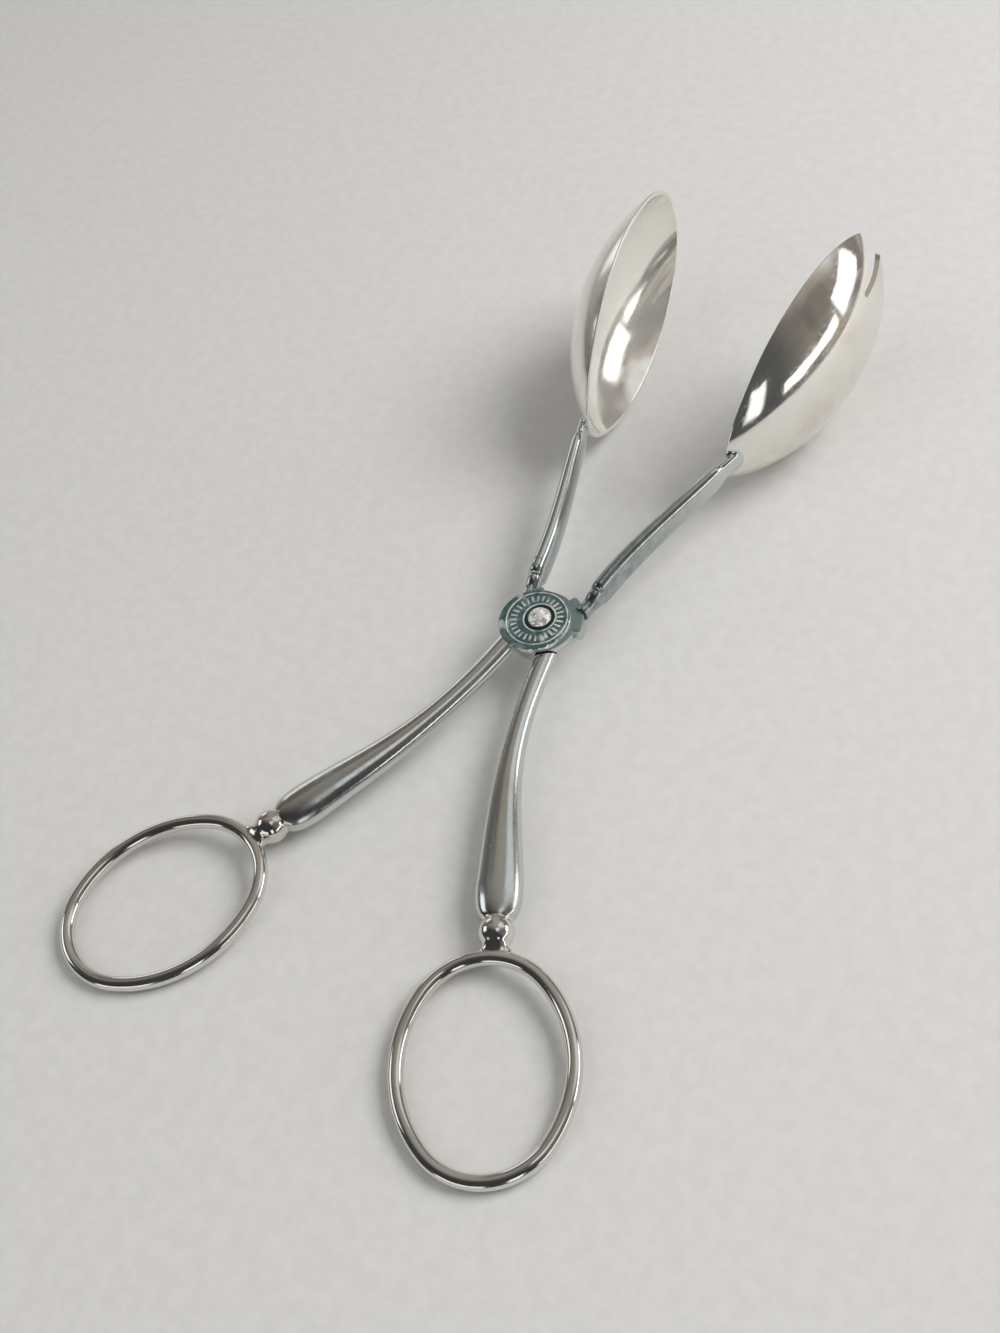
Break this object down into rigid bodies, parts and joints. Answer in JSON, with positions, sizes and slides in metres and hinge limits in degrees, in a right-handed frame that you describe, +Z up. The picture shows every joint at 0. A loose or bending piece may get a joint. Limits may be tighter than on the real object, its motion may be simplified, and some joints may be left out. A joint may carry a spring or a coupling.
{
  "type": "scissor serving tongs",
  "caption": "Scissor serving tongs: two crossed silver-plated arms on a rivet, with finger rings, baluster handles, a spoon bowl and a slotted fork bowl.",
  "frame": {"origin": "under the middle of the bounding box, on the plane the tongs rest on, in the pictured opening", "axes": "+X from the finger rings towards the bowls, +Y towards the spoon bowl, +Z up; the rings and both bowls rest on the plane at Z = 0"},
  "size_m": [0.2596, 0.1312, 0.0492],
  "materials": {
    "silver_plate": "polished silver plate with fine scratches and slight tarnish",
    "aged_plate": "silver plate with blue-green patina in its raised ornament"
  },
  "bodies": {
    "lower_arm": {"lower_finger_ring": "silver_plate", "lower_ring_collar": "silver_plate", "lower_bead": "silver_plate", "lower_handle": "silver_plate", "lower_hub": "silver_plate", "lower_shank": "silver_plate", "lower_heel": "silver_plate", "spoon_bowl": "silver_plate", "pivot_rivet": "silver_plate"},
    "upper_arm": {"upper_finger_ring": "silver_plate", "upper_ring_collar": "silver_plate", "upper_bead": "silver_plate", "upper_handle": "silver_plate", "upper_hub": "silver_plate", "upper_shank": "silver_plate", "upper_heel": "silver_plate", "fork_bowl": "silver_plate", "pivot_disc": "aged_plate"}
  },
  "joints": [
    {"name": "pivot_hinge", "type": "hinge", "parent": "lower_arm", "child": "upper_arm", "pos_m": [-0.0044, 0, 0.01046], "axis": [-0.0998, 0, 0.995], "range_deg": [-38, 24]}
  ]
}
